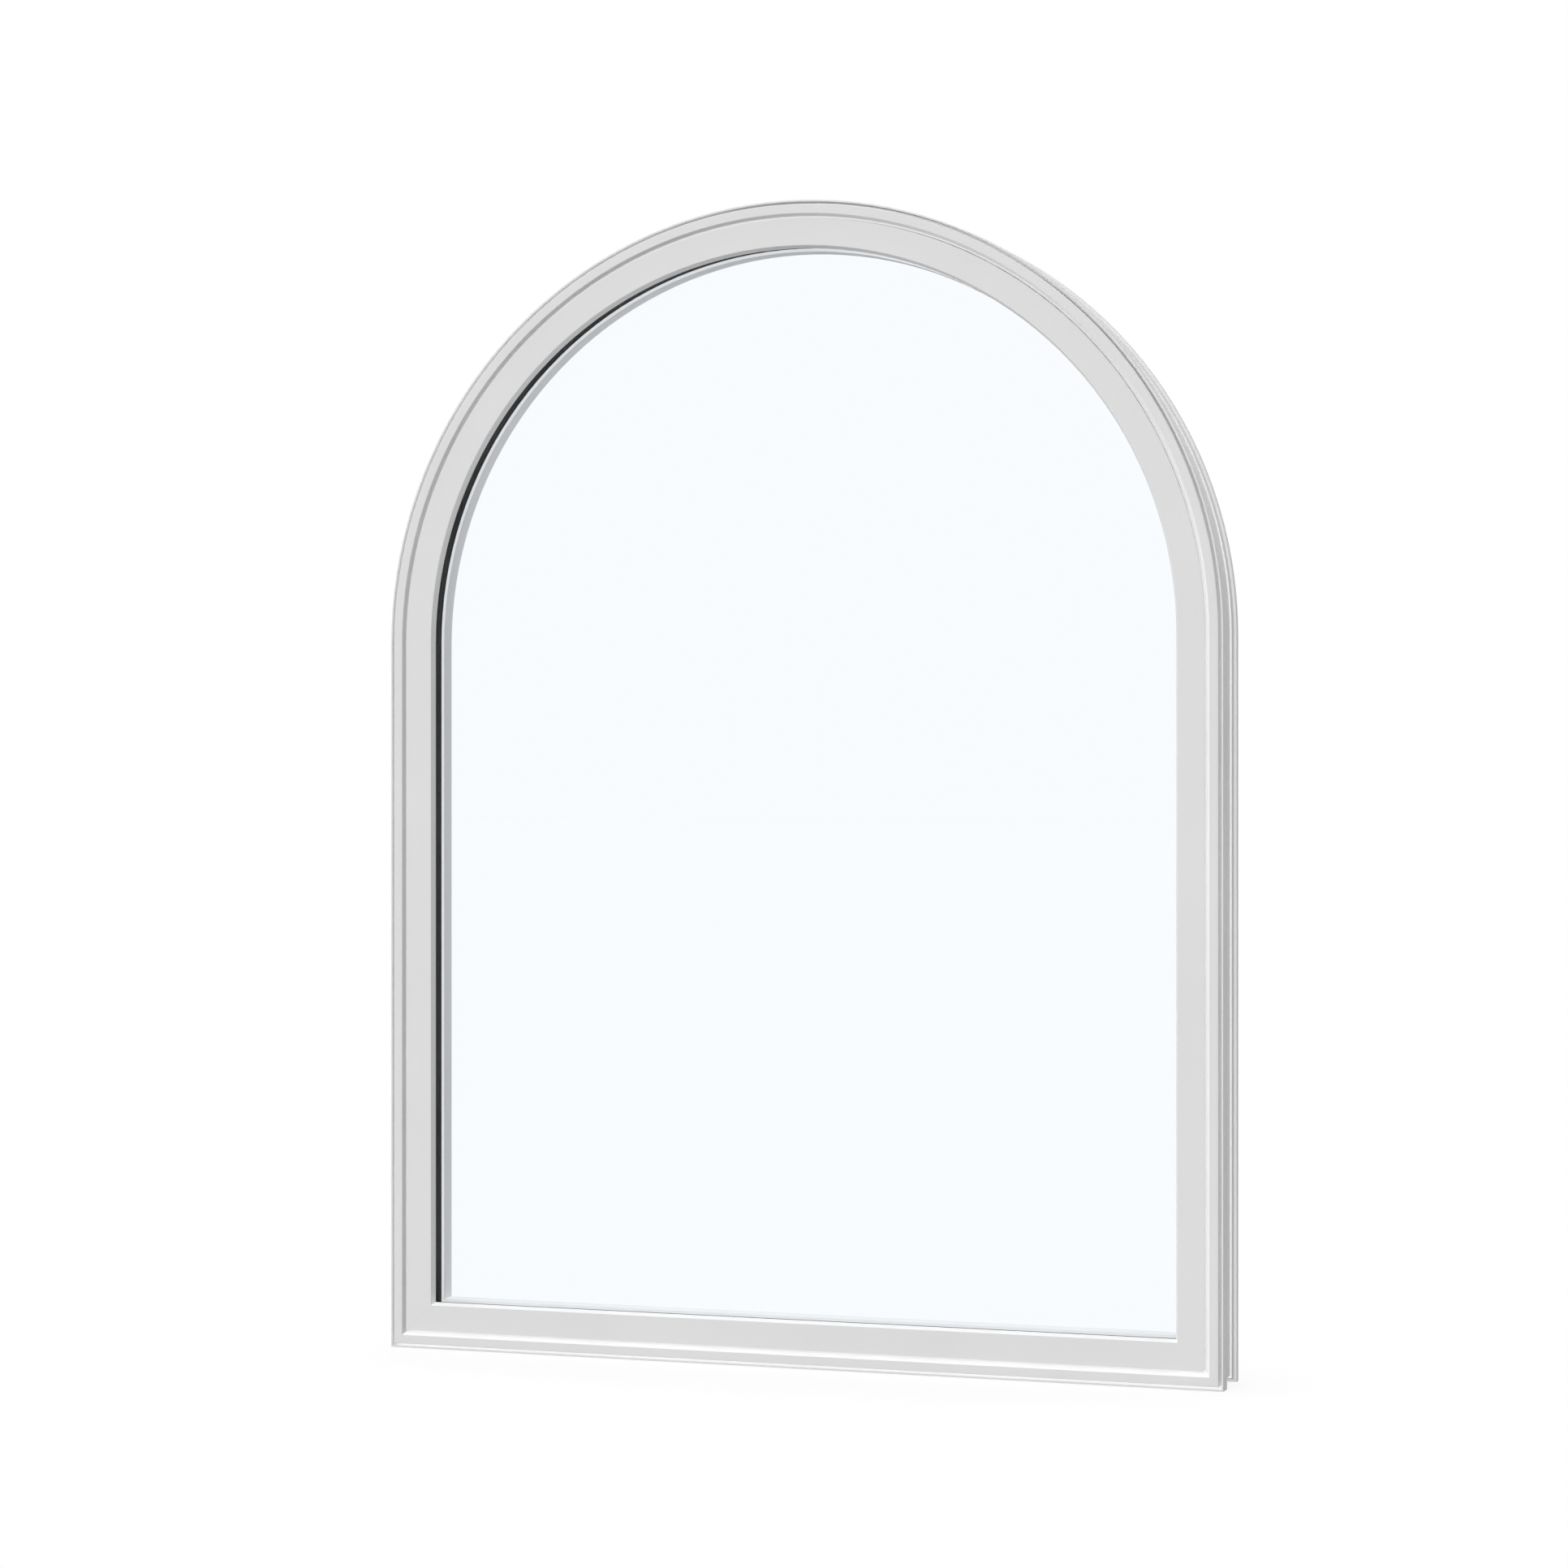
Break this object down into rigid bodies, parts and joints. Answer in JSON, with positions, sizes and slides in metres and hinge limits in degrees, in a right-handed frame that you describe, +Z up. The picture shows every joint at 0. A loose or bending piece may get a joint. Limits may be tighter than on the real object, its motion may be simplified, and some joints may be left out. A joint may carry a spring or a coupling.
{
  "type": "arched top window",
  "caption": "Fixed window with a semicircular arched head: a white vinyl frame with a stepped face, a flush fixed sash and clear double glazing, to be set in a wall opening.",
  "frame": {"origin": "middle of the underside of the sill's rear flange, where the frame is seated in the wall opening", "axes": "+Z up, +X to the right seen from the front (outdoor) side, +Y from the front towards the room"},
  "size_m": [1, 0.082, 1.3319],
  "materials": {
    "frame_vinyl": "smooth white vinyl, satin",
    "sash_vinyl": "smooth white vinyl, satin",
    "bead_vinyl": "smooth white vinyl, satin",
    "gasket_rubber": "black, matt",
    "spacer_black": "dark grey to black, matt",
    "clear_glass": "clear float glass",
    "block_plastic": "dark grey, matt"
  },
  "bodies": {
    "root": {"frame_sill": "frame_vinyl", "frame_left_jamb": "frame_vinyl", "frame_right_jamb": "frame_vinyl", "frame_arched_head": "frame_vinyl", "sash_bottom_rail": "sash_vinyl", "sash_left_stile": "sash_vinyl", "sash_right_stile": "sash_vinyl", "sash_arched_rail": "sash_vinyl", "bead_bottom": "bead_vinyl", "bead_left": "bead_vinyl", "bead_right": "bead_vinyl", "bead_arch": "bead_vinyl", "outer_gasket_bottom": "gasket_rubber", "outer_gasket_left": "gasket_rubber", "outer_gasket_right": "gasket_rubber", "outer_gasket_arch": "gasket_rubber", "inner_gasket_bottom": "gasket_rubber", "inner_gasket_left": "gasket_rubber", "inner_gasket_right": "gasket_rubber", "inner_gasket_arch": "gasket_rubber", "outer_pane": "clear_glass", "inner_pane": "clear_glass", "spacer_bar": "spacer_black", "left_setting_block": "block_plastic", "right_setting_block": "block_plastic"}
  },
  "joints": []
}
